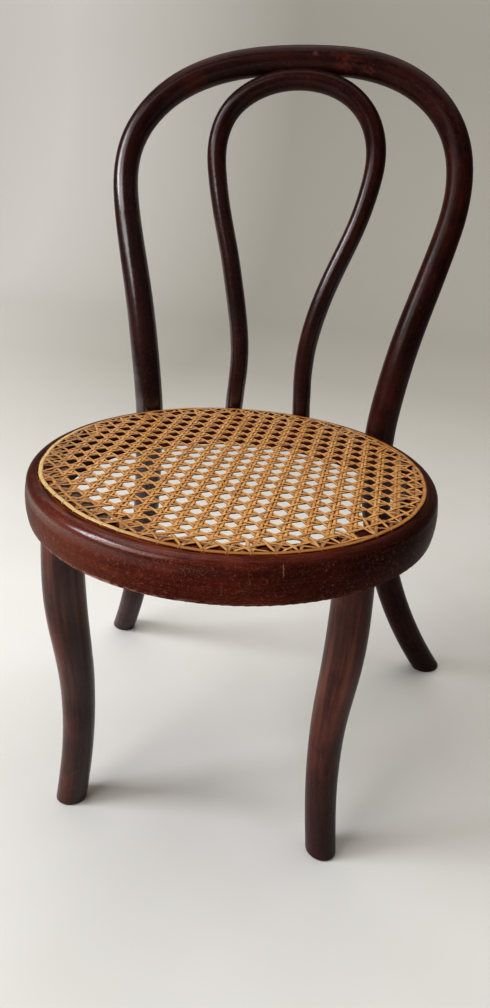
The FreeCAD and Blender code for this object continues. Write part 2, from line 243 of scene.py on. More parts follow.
def close_gaps(group, i, j):
    """Dark patches in the small gaps round a crossing, and in a whole opening where they are packed shut:
    partly wax and dust, partly painted shade between the strands.
    """
    for step, swell in ((0.0, 1.02), (0.5, 1.35)):
        centre = lattice(np.array([i + step]), np.array([j + step]))[0]
        turn = math.atan2(centre[1], centre[0])
        reach = math.hypot(*centre) + pull(turn)
        if step:
            wanted = (HOLE_CIRCLE - PACKED_RIM[0] < reach < HOLE_CIRCLE - PACKED_RIM[1]
                      and PACKED[0] < math.degrees(turn) % 360 < PACKED[1])
        else:
            wanted = reach <= HOLE_CIRCLE - CREVICE_RIM
        if wanted:
            t = np.linspace(-1, 1, 7)
            line = np.column_stack([centre[0] + SEAT.x / MM + CREVICE * t,
                                    np.full(7, centre[1] + SEAT.y / MM),
                                    np.full(7, RING_TOP / MM + CREVICE_LEVEL - 0.24 * step)])
            group.add(line, 2 * CREVICE * (swell - np.abs(t)), CREVICE_THICK)


def weave():
    """The six layers of strands: two along, two across and two slanting."""
    rng = random.Random(411)
    across = np.arange(-2, len(COLUMNS) + 1, SAMPLE_STEP)
    back = np.arange(-2, len(ROWS) + 1, SAMPLE_STEP)
    groups = {}

    def sway(n, amount=0.14):
        knots = max(3, n // 26)
        return soften(np.interp(np.linspace(0, knots - 1, n), range(knots),
                                [rng.gauss(0, amount) for _ in range(knots)]), 12)

    def over_under(place, gap, sign):
        # up over one strand of every crossing pair and down under the other
        part = place - np.round(place)
        return sign * CROSS_LEVEL * np.interp(part, [-0.5, -gap * 1.9, -gap, gap, gap * 1.9, 0.5],
                                              [0, -0.35, -1, 1, 0.35, 0])

    for order in (0, 1):
        group = Ribbons()
        side = 1 if order else -1
        for i in range(len(COLUMNS)):
            xy = lattice(np.full(len(back), float(i)), back)
            xy[:, 0] += side * COLUMN_GAP + sway(len(back))
            lay(rng, xy, over_under(back, ROW_GAP / PITCH, side), COLUMN_WIDTH, 0.35 + 0.2 * order, group)
        groups["cane_lengthwise_" + ("second" if order else "first")] = group
        group = Ribbons()
        for j in range(len(ROWS)):
            xy = lattice(across, np.full(len(across), float(j)))
            xy[:, 1] += side * ROW_GAP + sway(len(across))
            lay(rng, xy, over_under(across, COLUMN_GAP / PITCH, -side), ROW_WIDTH, 0.45 + 0.2 * order, group)
        groups["cane_crosswise_" + ("second" if order else "first")] = group
    for name, slope in (("left", -1), ("right", 1)):
        group = Ribbons()
        for m in range(-24, 46):
            i = np.arange(-2, len(COLUMNS) + 1, SAMPLE_STEP * 0.72)
            j = slope * i + m + 0.5 if slope < 0 else i + m - 20 + 0.5
            xy = lattice(i, j) + sway(len(i), 0.18)[:, None] * np.array([1.0, -slope]) * 0.7
            wave = slope * DIAGONAL_LEVEL * np.cos(2 * math.pi * i)
            lay(rng, xy, wave, DIAGONAL_WIDTH, 0.85, group)
        groups["cane_diagonal_" + name] = group
    for i in range(len(COLUMNS)):
        for j in range(len(ROWS)):
            close_gaps(groups["cane_lengthwise_first"], i, j)
    return {name: group.build(name) for name, group in groups.items()}


# ------------------------------------------------------------------ binder, lacing, loops below
def binder_piece():
    """The flat cane strip over the holes: one turn and a short lap at the back."""
    rng = random.Random(77)
    n = 720
    a = BINDER_START + np.linspace(0, 2 * math.pi + BINDER_LAP, n)
    wobble = soften([rng.gauss(0, 0.6) for _ in range(n)], 60)
    lift = soften([rng.gauss(0, 0.7) for _ in range(n)], 40)
    pinch = np.array([math.cos((t / HOLE_TURN - 0.5) * 2 * math.pi) for t in a])
    lap = smooth_step((a - BINDER_START - 2 * math.pi + 0.05) / 0.05)
    z = 0.5 + 0.06 * lift - 0.04 * pinch + 0.4 * lap
    r = BINDER_MID - pull(a) + wobble + 0.2 * lap
    points = np.column_stack([r * np.cos(a) + SEAT.x / MM, r * np.sin(a) + SEAT.y / MM, z + RING_TOP / MM])
    # flat below, gently domed above
    profile = ((-1.0, -0.3), (-0.95, -0.5), (0.95, -0.5), (1.0, -0.3), (0.86, 0.12), (0.45, 0.38),
               (0.0, 0.45), (-0.45, 0.38), (-0.86, 0.12))
    group = Ribbons()
    group.add(points, BINDER_WIDTH * (1 - 0.035 * (pinch + 1)), BINDER_THICK, tint=0.5, profile=profile)
    return group.build("binder_strip")


def lacing_piece():
    """One narrow strand over the binder at every hole, diving into the wood on both sides."""
    rng = random.Random(5)
    group = Ribbons()
    outline = ((-1.4, -0.3), (-1.34, 0.2), (-1.12, 0.52), (-0.7, 0.72), (0.0, 0.8), (0.7, 0.72),
               (1.12, 0.5), (1.24, 0.2), (1.28, -0.3))
    for h in range(HOLES):
        a = (h + 0.5) * HOLE_TURN + rng.gauss(0, 0.004)
        skew = rng.gauss(0, 0.09)
        radial = np.array([math.cos(a), math.sin(a), 0.0])
        side = np.array([-math.sin(a), math.cos(a), 0.0])
        path = []
        for x, z in outline:
            level = np.array([0, 0, z + RING_TOP / MM])
            path.append(radial * (BINDER_MID - pull(a) + x) + side * (skew * x * 1.6) + level)
        path = np.array(path)
        fine = np.linspace(0, len(path) - 1, 25)
        path = np.column_stack([soften(np.interp(fine, range(len(outline)), path[:, c]), 2)
                                for c in range(3)])
        tangent = np.gradient(path, axis=0)
        up = np.cross(side[None, :], tangent)
        up *= np.sign(up[len(up) // 2, 2])
        path[:, :2] += np.array(SEAT) / MM
        group.add(path, 0.8 * (1 + rng.gauss(0, 0.12)), 0.18, up=up, tint=rng.random())
    return group.build("binder_lacing_loops")


def under_loops():
    """Short runs of cane from hole to hole below the ring, as wide as the CAD ones."""
    rng = random.Random(9)
    group = Ribbons()
    legs = [math.radians(180 + LEG_ANGLE), math.radians(360 - LEG_ANGLE)]
    for n in range(0, HOLES, 2):
        mid = HOLE_TURN * (n + 1)
        near = min(abs((mid - d + math.pi) % (2 * math.pi) - math.pi) for d in legs)
        if near < math.radians(LEG_CLEAR):
            continue
        for layer in range(2):
            path = []
            lean = rng.gauss(0, 0.3)
            for t in np.linspace(-1, 1, 21):
                a = mid + HOLE_TURN / 2 * t * (1.0 - 0.02 * layer)
                # up inside the holes at both ends, flat against the wood between them
                dip = smooth_step((1 - abs(t)) / 0.22)
                z = 2.2 - 2.55 * dip - 0.1 * layer
                bow = 1 - t * t
                r = HOLE_CIRCLE - pull(a) - 0.35 * bow + (layer - 0.5) * 1.1 * bow + lean * bow
                path.append((r * math.cos(a) + SEAT.x / MM, r * math.sin(a) + SEAT.y / MM,
                             RING_BASE / MM + z))
            group.add(np.array(path), 1.3, 0.4, tint=rng.random(), up=np.tile([0.0, 0.0, -1.0], (21, 1)))
    return group.build("cane_loops_below")


# ------------------------------------------------------------------ rods and legs, grained along the bend
# centre lines, in millimetres: height above the ring, half width, shift to the left
OUTER = ((24, 76.5, 2.6), (52.5, 81.6, 2.8), (81, 88.5, 2.8), (110, 95.9, 3.1), (129, 99.4, 3.4),
         (148, 99, 3.6), (167, 91.9, 2.7), (183, 77.5, 1.2), (195.3, 54.3, -1.7))
OUTER_CROWN = (-2, 147, 393.3)
OUTER_RISE = 202.3        # height of the crown above the ring
OUTER_SEAT = (73.3, 2.1)  # half width and shift where the rod passes the ring
OUTER_SETBACK = (84.5, 88.5)  # how far behind the seat's centre it passes, left and right
REAR_FEET = ((-106, 116.5), (126.5, 131))
REAR_BOWS = (2.4, 1.95)   # the larger, the more of the spread is near the foot
NOTCH_LEVEL = 187         # the rear legs start here
INNER = ((20, 21.1, 3.2), (39, 21.7, 3.3), (58, 24.9, 3.3), (77, 29.7, 2.8), (96, 35.6, 1.8),
         (115, 41.8, 1.2), (134, 46.4, 1.2), (153.5, 48.2, 1.6), (172.5, 42.1, 2), (184.4, 29.3, 1.5))
INNER_CROWN = (0, 142.5, 382.9)
INNER_RISE = 191.9
INNER_SETBACK = 108
INNER_LEAN = 34.5         # how far the inner crown leans back from its feet
INNER_FEET = ((22.8, 174.0), (22.2, 191.0))  # half width, height above the floor
INNER_SHIFT = 3
SEAT_LEVEL = 191          # the ring's top, above the floor
# front legs: height above the floor, distance from the seat's centre
LEG = ((0, 93.2), (18, 90.5), (37, 88.3), (57, 87.2), (77, 87.3), (96, 88.7), (115, 90.8),
       (133, 92.1), (151, 92.4), (170, 92))


def outer_line():
    def setback(base, z):
        w = max(z, 0) / OUTER_RISE
        return base + (OUTER_CROWN[1] - base) * (0.5 * w + 0.5 * w * w)

    sides = []
    for side, foot, bow, base in zip((-1, 1), REAR_FEET, REAR_BOWS, OUTER_SETBACK):
        top = (side * OUTER_SEAT[0] - OUTER_SEAT[1], base)
        run = []
        for s in (1.05, 0.9, 0.75, 0.6, 0.45, 0.3, 0.15, 0.0):
            run.append((top[0] + (foot[0] - top[0]) * s ** bow, top[1] + (foot[1] - top[1]) * s ** bow,
                        NOTCH_LEVEL * (1 - s)))
        for z, half, shift in OUTER:
            run.append((side * half - shift, setback(base, z), SEAT_LEVEL + z))
        sides.append(run)
    return sides[0] + [OUTER_CROWN] + sides[1][::-1]


def inner_line():
    def setback(z):
        w = max(z, 0) / INNER_RISE
        return INNER_SETBACK + INNER_LEAN * (0.7 * w + 0.3 * w * w)

    sides = []
    for side in (-1, 1):
        run = [(side * half - INNER_SHIFT, INNER_SETBACK, z) for half, z in INNER_FEET]
        run += [(side * half - shift, setback(z), SEAT_LEVEL + z) for z, half, shift in INNER]
        sides.append(run)
    return sides[0] + [INNER_CROWN] + sides[1][::-1]


def leg_line(degrees):
    a = math.radians(degrees)
    return [(reach * math.cos(a), reach * math.sin(a), z) for z, reach in LEG]


def curve_through(points, count):
    """A smooth line through the points, sampled evenly: Catmull-Rom."""
    p = np.array(points, float)
    p = np.vstack([2 * p[0] - p[1], p, 2 * p[-1] - p[-2]])
    out = []
    for i in range(1, len(p) - 2):
        for t in np.linspace(0, 1, 40, endpoint=False):
            out.append(0.5 * ((2 * p[i]) + (p[i + 1] - p[i - 1]) * t
                              + (2 * p[i - 1] - 5 * p[i] + 4 * p[i + 1] - p[i + 2]) * t ** 2
                              + (3 * p[i] - p[i - 1] - 3 * p[i + 1] + p[i + 2]) * t ** 3))
    out.append(p[-2])
    out = np.array(out)
    run = np.concatenate([[0], np.cumsum(np.linalg.norm(np.diff(out, axis=0), axis=1))])
    even = np.linspace(0, run[-1], count)
    return np.column_stack([np.interp(even, run, out[:, c]) for c in range(3)]), even


def grained(node, name, line, reference):
    """A piece with the CAD node's own surface; each point knows its place along and across the rod."""
    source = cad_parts[node]
    mesh = source.data.copy()
    mesh.name = name
    obj = bpy.data.objects.new(name, mesh)
    bpy.context.scene.collection.objects.link(obj)
    centre, run = curve_through(line, 700)
    centre = centre * MM + np.array([SEAT.x, SEAT.y, 0.0])
    tree = kdtree.KDTree(len(centre))
    for i, c in enumerate(centre):
        tree.insert(c, i)
    tree.balance()
    tangent = np.gradient(centre, axis=0)
    tangent /= np.linalg.norm(tangent, axis=1)[:, None]
    u = np.array(reference, float) - tangent * (tangent @ np.array(reference, float))[:, None]
    u /= np.linalg.norm(u, axis=1)[:, None]
    v = np.cross(tangent, u)
    values = np.zeros((len(mesh.vertices), 3), np.float32)
    for i, vertex in enumerate(mesh.vertices):
        _, k, _ = tree.find(vertex.co)
        offset = np.array(vertex.co) - centre[k]
        values[i] = (run[k] * MM + offset @ tangent[k], offset @ u[k], offset @ v[k])
    layer = mesh.attributes.new("run", "FLOAT_VECTOR", "POINT")
    layer.data.foreach_set("vector", values.ravel())
    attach(obj, "root")
    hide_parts(node)
    return obj


# ------------------------------------------------------------------ node helpers
class Graph:
    def __init__(self, name):
        self.material = bpy.data.materials.new(name)
        self.material.use_nodes = True
        self.tree = self.material.node_tree
        self.tree.nodes.clear()
        self.out = self.tree.nodes.new("ShaderNodeOutputMaterial")
        self.shader = self.tree.nodes.new("ShaderNodeBsdfPrincipled")
        self.tree.links.new(self.shader.outputs[0], self.out.inputs[0])

    def put(self, socket, value):
        if isinstance(value, bpy.types.NodeSocket):
            self.tree.links.new(value, socket)
        elif value is not None:
            socket.default_value = value

    def node(self, kind, inputs=None, **settings):
        made = self.tree.nodes.new("ShaderNode" + kind)
        for key, value in settings.items():
            setattr(made, key, value)
        for key, value in (inputs or {}).items():
            self.put(made.inputs[key], value)
        return made

    def math(self, operation, a, b=None):
        made = self.node("Math", operation=operation)
        for socket, value in zip(made.inputs, (a, b)):
            self.put(socket, value)
        return made.outputs[0]

    def times(self, first, *others):
        for other in others:
            first = self.math("MULTIPLY", first, other)
        return first

    def plus(self, a, b):
        return self.math("ADD", a, b)

    def minus(self, a, b):
        return self.math("SUBTRACT", a, b)

    def vector(self, x, y, z):
        return self.node("CombineXYZ", {0: x, 1: y, 2: z}).outputs[0]

    def split(self, vector):
        return self.node("SeparateXYZ", {0: vector}).outputs

    def place(self):
        return self.node("TexCoord").outputs["Object"]

    def seat_polar(self, x, y):
        """Sideways and backward distance from the seat's centre, and the radius."""
        dx = self.minus(x, SEAT.x)
        dy = self.minus(y, SEAT.y)
        return dx, dy, self.math("SQRT", self.plus(self.times(dx, dx), self.times(dy, dy)))

    def noise(self, place, scale=1.0, detail=2.0, rough=0.5):
        at, w = place if isinstance(place, tuple) else (place, None)
        made = self.node("TexNoise", noise_dimensions="4D" if w is not None else "3D")
        self.put(made.inputs["Vector"], at)
        if w is not None:
            self.put(made.inputs["W"], w)
        made.inputs["Scale"].default_value = scale
        made.inputs["Detail"].default_value = detail
        made.inputs["Roughness"].default_value = rough
        return made.outputs["Fac"]

    def span(self, value, low, high, out_low=0.0, out_high=1.0):
        made = self.node("MapRange", clamp=True)
        for socket, v in zip(made.inputs, (value, low, high, out_low, out_high)):
            self.put(socket, v)
        return made.outputs[0]

    def mix(self, amount, a, b):
        made = self.node("Mix", data_type="RGBA", blend_type="MIX")
        self.put(made.inputs[0], amount)
        for socket, v in ((made.inputs[6], a), (made.inputs[7], b)):
            self.put(socket, v)
        return made.outputs[2]

    def bump(self, height, strength, distance, normal=None):
        made = self.node("Bump", {"Height": height, "Strength": strength, "Distance": distance})
        if normal is not None:
            self.put(made.inputs["Normal"], normal)
        return made.outputs[0]

    def set(self, values):
        for key, value in values.items():
            self.put(self.shader.inputs[key], value)


def rgb(r, g, b):
    """sRGB 0-255 to linear."""
    out = []
    for c in (r, g, b):
        c /= 255
        out.append(c / 12.92 if c <= 0.04045 else ((c + 0.055) / 1.055) ** 2.4)
    return (*out, 1.0)


# ------------------------------------------------------------------ wood
class Surface:
    """Where a point lies on the wood, and noise that follows the grain or ignores it."""

    def __init__(self, g, kind):
        self.g = g
        self.kind = kind
        self.obj = g.place()
        self.x, self.y, self.z = g.split(self.obj)
        if kind == "ring":
            self.dx, self.dy, self.r = g.seat_polar(self.x, self.y)
            # the point's own direction, taken out to the ring's face
            self.cx = g.math("DIVIDE", g.times(self.dx, RING_RADIUS), self.r)
            self.cy = g.math("DIVIDE", g.times(self.dy, RING_RADIUS), self.r)
        else:
            self.run = g.node("Attribute", attribute_name="run").outputs["Vector"]

    def grain(self, along, across, detail, rough=0.5):
        """Noise drawn out along the grain: the size of a streak in millimetres, both ways."""
        g = self.g
        if self.kind == "ring":
            at = g.vector(g.math("DIVIDE", self.cx, along * MM), g.math("DIVIDE", self.cy, along * MM),
                          g.math("DIVIDE", self.z, across * MM))
            at = (at, g.math("DIVIDE", self.r, across * MM))
        else:
            scale = (1 / (along * MM), 1 / (across * MM), 1 / (across * MM))
            at = g.node("VectorMath", {0: self.run, 1: scale}, operation="MULTIPLY").outputs[0]
        return g.noise(at, 1.0, detail, rough)

    def broad(self, size, detail=2.0, rough=0.5):
        """Noise with patches of one size in millimetres, whatever the grain does."""
        return self.g.noise(self.obj, 1 / (size * MM), detail, rough)

    def between(self, axis, start, end, low=0.0, high=1.0):
        """From low to high while x, y, z, or the distance r from the seat's axis, goes from start to end."""
        return self.g.span(getattr(self, axis), start, end, low, high)

    def from_top(self, start, end):
        return self.between("z", RING_TOP + start * MM, RING_TOP + end * MM)

    def from_base(self, start, end):
        return self.between("z", RING_BASE + start * MM, RING_BASE + end * MM)

    def from_face(self, start, end):
        return self.between("r", RING_RADIUS + start * MM, RING_RADIUS + end * MM)

    def from_middle(self, start, end, low=0.0, high=1.0):
        """Sideways from the seat's centre; plus is to the right."""
        return self.between("x", SEAT.x + start * MM, SEAT.x + end * MM, low, high)


def ring_tones(g, at, colour, marks, worn):
    """Amber band beside the cane, rubbed lower edge; painted light and shade across the ring: face paler
    towards the left, dark on the right side and at the far left; most of the marks are on the face.
    """
    face = at.from_face(-2.2, -1.2)
    rays = g.times(g.span(at.grain(0.95, 0.34, 2.0, 0.6), 0.54, 0.68),
                   g.span(at.broad(9, 3.0), 0.38, 0.6, 0.3, 1.0))
    colour = g.mix(g.times(rays, 0.5), colour, rgb(164, 84, 62))
    marks = g.times(marks, g.plus(g.times(face, 0.75), 0.1))
    edge = g.times(at.from_base(2.2, 1.0), at.from_face(-3.5, -1.5),
                   g.span(at.grain(4, 1.2, 4.0, 0.65), 0.44, 0.58), at.from_middle(25, -35, 0.2, 1.0))
    lip = g.times(at.from_top(-4.4, -2.0), at.from_face(-6.4, -4.6),
                  g.span(at.grain(7, 1.6, 4.0, 0.7), 0.42, 0.62))
    band = g.times(at.from_top(-0.5, -0.1), at.from_face(-4.4, -5.6))
    amber = g.mix(g.span(at.grain(24, 0.7, 4.0, 0.65), 0.45, 0.62), rgb(38, 10, 5), rgb(146, 64, 26))
    colour = g.mix(g.times(band, 0.88), colour, amber)
    colour = g.mix(g.times(lip, 0.35), colour, rgb(122, 62, 48))
    colour = g.mix(g.times(at.from_base(6, 0.5), g.times(worn, 0.35)), colour, rgb(120, 66, 52))
    colour = g.mix(edge, colour, rgb(196, 160, 146))
    # painted light: the face paler brown towards the left, the side the light falls on
    colour = g.mix(g.times(face, at.from_middle(-10, -60, 0.0, 0.65)), colour, rgb(104, 60, 46))
    # painted shade: the right-hand side, away from the light, darkened
    colour = g.mix(at.from_middle(35, 92, 0.0, 0.72), colour, rgb(22, 6, 4))
    # painted shade: the far left darkened
    colour = g.mix(at.from_middle(-64, -92, 0.0, 0.6), colour, rgb(22, 6, 4))
    # where the ends of the bent strip meet, a short pale scratch down the face
    turn = g.math("ARCTAN2", at.dy, at.dx)
    drift = g.times(g.minus(g.noise(g.vector(0.0, 0.0, at.z), 420.0, 1.0), 0.5), 0.02)
    seam = g.math("ABSOLUTE", g.minus(g.plus(turn, drift), SEAM_ANGLE))
    seam = g.times(g.span(seam, 0.001, 0.0035, 1.0, 0.0),
                   g.times(at.from_top(-7.5, -5.5), at.from_top(-0.8, -1.6)))
    return colour, g.math("MAXIMUM", marks, g.times(seam, g.times(face, 0.8))), face


def rod_tones(g, at, colour):
    """Worn places near the crown, where hands take hold of the back."""
    for place, size, tone in ((Vector((-5.6, 115.0, 396.3)), 2.4, rgb(150, 84, 80)),
                              (Vector((12.0, 115.3, 391.0)), 7.0, rgb(128, 58, 36)),
                              (Vector((25.0, 114.8, 387.5)), 6.0, rgb(136, 58, 38))):
        off = g.node("VectorMath", {0: at.obj, 1: place * MM}, operation="DISTANCE").outputs["Value"]
        spot = g.times(g.span(off, size * MM, size * 0.35 * MM), g.span(at.broad(2.2, 3.0), 0.42, 0.58))
        colour = g.mix(g.times(spot, 0.3), colour, tone)
    return colour


def leg_tones(g, at, colour):
    """Rubbed rosy along the knee, dark towards the foot and more so on the right-hand leg, and painted shade
    darkening the faces turned to the right, away from the light.
    """
    knee = g.times(at.between("z", 70 * MM, 105 * MM), at.between("z", 172 * MM, 150 * MM, 0.3, 1.0))
    rub = g.span(at.grain(75, 4.6, 2.0), 0.44, 0.66)
    colour = g.mix(g.times(knee, rub, 0.6), colour, rgb(150, 92, 74))
    # darker towards the foot; the extra darkening on the right-hand leg is painted shade
    foot = g.times(at.between("z", 75 * MM, 10 * MM), at.between("x", -20 * MM, 30 * MM, 0.25, 0.8))
    colour = g.mix(foot, colour, rgb(40, 20, 17))
    # painted shade: faces turned to the right, away from the light, darkened
    shade_facing_right = g.split(g.node("TexCoord").outputs["Normal"])[0]
    return g.mix(g.span(shade_facing_right, 0.05, 0.75, 0.0, 0.6), colour, rgb(34, 16, 14))


def wax_layer(g, at, kind):
    """Where the wax is still glossy: towards the left, and on the ring only along its shoulder."""
    if kind == "ring":
        wax = g.times(at.from_top(-8.5, -4.5), at.from_face(-7.6, -5.2),
                      g.span(at.broad(0.7, 2.0), 0.35, 0.6, 0.45, 1.0), at.from_middle(-93, -72))
        return g.times(wax, at.from_middle(32, -22))
    wax = g.times(g.span(at.broad(18, 2.0), 0.35, 0.65, 0.6, 1.0),
                  at.between("z", 352 * MM, 322 * MM, 0.15, 1.0))
    if kind == "rod":
        wax = g.times(wax, at.between("z", 60 * MM, 175 * MM, 0.4, 1.0))
    return g.times(wax, at.from_middle(95, -40))


# how strongly each kind reflects: IOR, specular level, coat IOR, share of the coat, curled scratches
GLOSS = {"ring": (1.28, 0.05, 1.5, 1.0, 0.7),
         "rod": (1.28, 0.14, 1.8, 1.0, 0.14),
         "leg": (1.45, 0.2, 1.5, 0.6, 0.14)}


def wood(name, kind, dark, mid, warm, roughness):
    g = Graph(name)
    at = Surface(g, kind)
    ior, shine, coat_ior, coat_share, curl_share = GLOSS[kind]

    # stain: dark ground, redder streaks along the grain, mottled in broad patches
    streak = at.grain(30, 1.5, 4.0, 0.6)
    fine = at.grain(6, 0.33, 3.0, 0.6)
    tone = g.plus(g.times(streak, 0.55), g.times(at.broad(34, 3.0, 0.55), 0.55))
    colour = g.mix(g.span(tone, 0.42, 0.68), dark, mid)
    warm_at = g.times(g.span(at.grain(45, 2.6, 3.0), 0.52, 0.72), g.span(at.broad(22, 2.0), 0.48, 0.66))
    colour = g.mix(g.times(warm_at, 0.75), colour, warm)
    colour = g.mix(g.span(fine, 0.5, 0.72, 0.0, 0.5), colour, dark)
    flecks = g.span(at.grain(2.6, 0.22, 1.0, 0.4), 0.63, 0.72)
    colour = g.mix(g.times(flecks, 0.35), colour, rgb(20, 5, 4))

    # fine pale scratches and specks
    scratch = g.times(g.span(at.grain(9, 0.14, 1.0, 0.4), 0.735, 0.78), g.span(at.broad(11, 1.0), 0.5, 0.62))
    speck = g.node("TexVoronoi", {"Vector": at.obj, "Scale": 1 / (3.1 * MM), "Randomness": 1.0})
    dot = g.times(g.span(speck.outputs["Distance"], 0.03, 0.075, 1.0, 0.0),
                  g.span(g.split(speck.outputs["Color"])[0], 0.83, 0.86))
    marks = g.math("MAXIMUM", scratch, dot)
    worn = g.span(at.broad(16, 3.0, 0.6), 0.55, 0.75)
    if kind == "ring":
        colour, marks, face = ring_tones(g, at, colour, marks, worn)
    else:
        marks = g.times(marks, 0.35)
        colour = g.mix(g.times(worn, 0.25), colour, warm)
        colour = rod_tones(g, at, colour) if kind == "rod" else leg_tones(g, at, colour)
    colour = g.mix(g.times(marks, 0.75), colour, rgb(176, 146, 128))

    # short curved scratches in the wax
    curl = g.math("ABSOLUTE", g.minus(at.broad(1.5, 1.0), 0.5))
    curl = g.times(g.span(curl, 0.006, 0.03, 1.0, 0.0), g.span(at.broad(2.1, 1.0), 0.46, 0.56),
                   g.span(at.broad(14, 2.0), 0.35, 0.6, 0.35, 1.0), curl_share)
    if kind == "ring":
        curl = g.times(curl, g.plus(g.times(face, 0.9), 0.1))
    colour = g.mix(curl, colour, rgb(158, 98, 80))

    rough = g.plus(g.plus(g.times(at.broad(9, 3.0), 0.16), roughness - 0.08), g.times(marks, 0.25))
    height = g.plus(g.times(fine, 0.55), g.times(streak, 0.6))
    height = g.minus(g.minus(height, g.times(marks, 0.7)), g.times(flecks, 0.3))
    normal = g.bump(height, 0.28, 0.12 * MM)
    normal = g.bump(at.broad(0.55, 2.0, 0.6), 0.22, 0.1 * MM, normal)
    normal = g.bump(at.broad(13, 2.0), 0.35, 0.5 * MM, normal)
    g.set({"Base Color": colour, "Roughness": rough, "Normal": normal,
           "Coat Weight": g.times(wax_layer(g, at, kind), coat_share),
           "IOR": ior, "Specular IOR Level": shine, "Coat Roughness": 0.2, "Coat IOR": coat_ior})
    return g.material


# ------------------------------------------------------------------ cane, steel, raw wood
def cane(name, light, mid, dark, roughness):
    g = Graph(name)
    along, across, tint = g.split(g.node("Attribute", attribute_name="strand").outputs["Vector"])
    # fibres run the length of a strand; every strand differs a little in tone
    fibre = g.vector(g.times(along, 210.0), g.times(across, 3.2), g.times(tint, 90.0))
    lines = g.noise(fibre, 1.0, 4.0, 0.65)
    blotch = g.noise(g.vector(g.times(along, 120.0), 0.0, g.times(tint, 60.0)), 1.0, 2.0)
    colour = g.mix(g.span(lines, 0.32, 0.68), mid, light)
    colour = g.mix(g.times(g.span(blotch, 0.5, 0.72), 0.65), colour, dark)
    colour = g.mix(g.span(tint, 0.0, 1.0, 0.0, 0.35), colour, mid)
    # the split edges are raw and darker than the glossy skin; the darkening over the outer half of each side
    # also stands in for the shade where the strand curves away (painted shade)
    rim = g.span(g.math("ABSOLUTE", across), 0.5, 1.0)
    colour = g.mix(g.times(rim, 0.8), colour, dark)
    grime = g.noise(g.place(), 1 / (3.5 * MM), 3.0, 0.6)
    colour = g.mix(g.times(g.span(grime, 0.52, 0.72), 0.45), colour, dark)
    x, y, z = g.split(g.place())
    dx, dy, r = g.seat_polar(x, y)
    front_left = g.plus(g.times(dx, 0.85), g.times(dy, 0.52))
    if name == "cane_skin":
        # a brown, grimy border along the binder, strongest at the front left
        border = g.times(g.span(r, 80 * MM, 92 * MM), g.span(front_left, -30 * MM, -80 * MM, 0.2, 0.62))
        colour = g.mix(border, colour, g.mix(g.span(lines, 0.4, 0.6), rgb(60, 27, 6), rgb(190, 130, 58)))
    # darker where the strands dip under the others and darkest at the lowest level, where the gap patches
    # lie: partly wax and dust, partly painted shade between the strands; not below the seat
    above = g.span(z, RING_TOP - 4 * MM, RING_TOP - 3 * MM)
    deep = g.times(g.span(z, RING_TOP + 0.98 * MM, RING_TOP + 0.5 * MM), above)
    colour = g.mix(g.times(deep, 0.85), colour, dark)
    # painted shade with dust: the lowest level, the gap patches, darkest
    bottom = g.span(z, RING_TOP + 0.41 * MM, RING_TOP + 0.385 * MM, 0.0, 0.9)
    colour = g.mix(g.times(bottom, above), colour, rgb(40, 18, 6))
    if name == "binder_skin":
        # the strip is darker where it is handled at the front and paler at the left
        front = g.times(g.span(y, SEAT.y - 30 * MM, SEAT.y - 80 * MM, 0.0, 0.85),
                        g.span(x, SEAT.x - 35 * MM, SEAT.x - 2 * MM))
        colour = g.mix(front, colour, rgb(156, 96, 26))
        colour = g.mix(g.span(front_left, -55 * MM, -78 * MM, 0.0, 0.65), colour, rgb(222, 196, 136))
    rough = g.plus(g.plus(g.times(lines, 0.25), roughness - 0.1), g.times(rim, 0.25))
    g.set({"Base Color": colour, "Roughness": rough, "Normal": g.bump(lines, 0.35, 0.08 * MM),
           "IOR": 1.5, "Specular IOR Level": 0.35, "Coat Weight": 0.3, "Coat Roughness": 0.16})
    return g.material


def steel(name):
    g = Graph(name)
    tarnish = g.noise(g.place(), 1 / (1.2 * MM), 4.0, 0.65)
    colour = g.mix(g.span(tarnish, 0.4, 0.65), rgb(150, 140, 126), rgb(84, 66, 50))
    g.set({"Base Color": colour, "Roughness": g.span(tarnish, 0.3, 0.7, 0.34, 0.66), "Metallic": 1.0,
           "Normal": g.bump(g.noise(g.place(), 1 / (0.35 * MM), 2.0), 0.3, 0.05 * MM)})
    return g.material


def raw_wood(name):
    g = Graph(name)
    stretch = (2400.0, 2400.0, 300.0)
    stretched = g.node("VectorMath", {0: g.place(), 1: stretch}, operation="MULTIPLY").outputs[0]
    lines = g.noise(stretched, 1.0, 3.0)
    g.set({"Base Color": g.mix(g.span(lines, 0.35, 0.65), rgb(150, 108, 66), rgb(190, 150, 104)),
           "Roughness": 0.7, "Normal": g.bump(lines, 0.4, 0.05 * MM)})
    return g.material


def dress(obj, material):
    obj.data.materials.clear()
    obj.data.materials.append(material)


ring_wood = wood("ring_wood_waxed", "ring", rgb(56, 20, 13), rgb(98, 40, 27), rgb(120, 54, 34), 0.33)
rod_wood = wood("rod_wood_waxed", "rod", rgb(30, 12, 10), rgb(57, 23, 18), rgb(84, 34, 24), 0.32)
leg_wood = wood("leg_wood_waxed", "leg", rgb(52, 23, 19), rgb(98, 48, 38), rgb(136, 66, 48), 0.34)
cane_skin = cane("cane_skin", rgb(240, 192, 122), rgb(200, 134, 58), rgb(86, 32, 4), 0.3)
binder_skin = cane("binder_skin", rgb(222, 172, 92), rgb(196, 134, 56), rgb(132, 76, 28), 0.36)
aged_steel = steel("aged_steel")
peg_wood = raw_wood("peg_raw_wood")

# ------------------------------------------------------------------ pieces
woven = weave()
for piece in woven.values():
    dress(piece, cane_skin)
    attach(piece, "root")
    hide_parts("cane_panel")

binder = binder_piece()
dress(binder, binder_skin)
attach(binder, "root")
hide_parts("binder_cane")

lacing = lacing_piece()
dress(lacing, binder_skin)
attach(lacing, "root")
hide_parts("binder_lacing")

